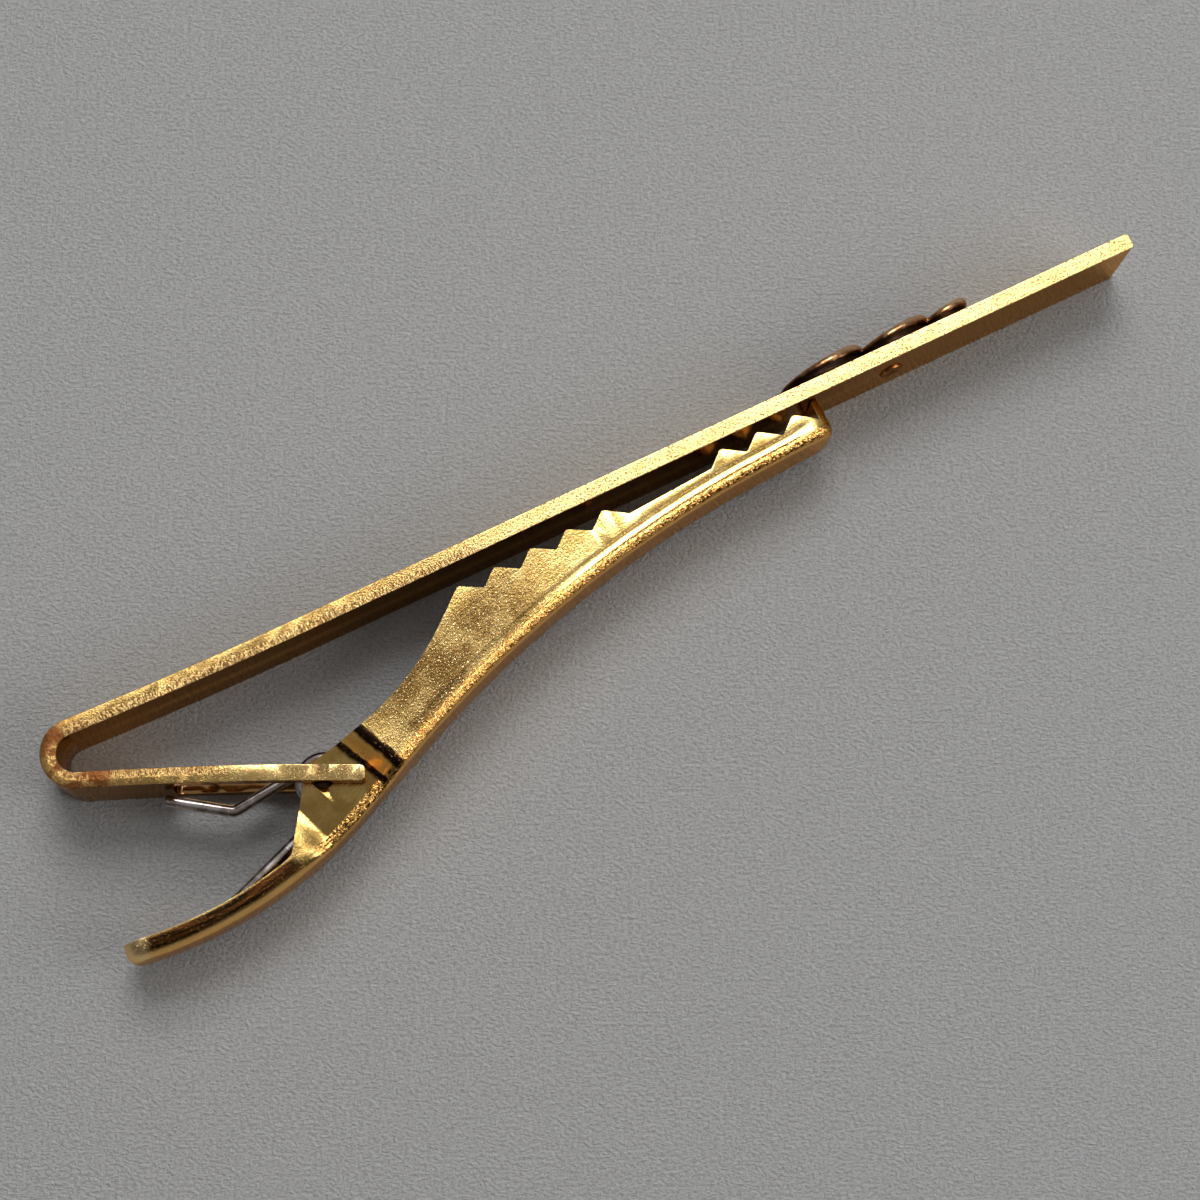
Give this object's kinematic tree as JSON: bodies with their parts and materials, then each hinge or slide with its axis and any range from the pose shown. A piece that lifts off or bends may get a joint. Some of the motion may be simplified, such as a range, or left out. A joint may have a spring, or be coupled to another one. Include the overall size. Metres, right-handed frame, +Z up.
{
  "type": "tie clip",
  "caption": "Sprung tie clip: a folded metal bar with a forked arm, a pinned toothed jaw with a finger tail, a coil spring and a small scroll ornament.",
  "frame": {"origin": "under the middle of the whole closed clip, on the surface it rests on with its long lower edge", "axes": "+X from the hairpin bend along the bar to its tip, +Y out of the decorated front face of the bar, +Z up across the width of the strip, along the hinge pin"},
  "size_m": [0.0608, 0.0132, 0.005],
  "materials": {
    "gold_strip": "satin, brown on the back",
    "gold_jaw": "worn polish",
    "pin_metal": "satin",
    "spring_steel": "drawn wire",
    "copper_scrolls": "polished copper tone, dark in its hollows"
  },
  "bodies": {
    "clip": {"clip_bar": "gold_strip", "pivot_pin": "pin_metal", "jaw_spring": "spring_steel", "ornament": "copper_scrolls"},
    "jaw": {"jaw_lever": "gold_jaw"}
  },
  "joints": [
    {"name": "jaw_hinge", "type": "hinge", "parent": "clip", "child": "jaw", "pos_m": [-0.0182, -0.00209, 0.0025], "axis": [0, 0, -1], "range_deg": [0, 25], "stiffness_Nm_per_rad": 0.03, "springref_deg": -57.3, "deforming": ["jaw_spring"]}
  ]
}
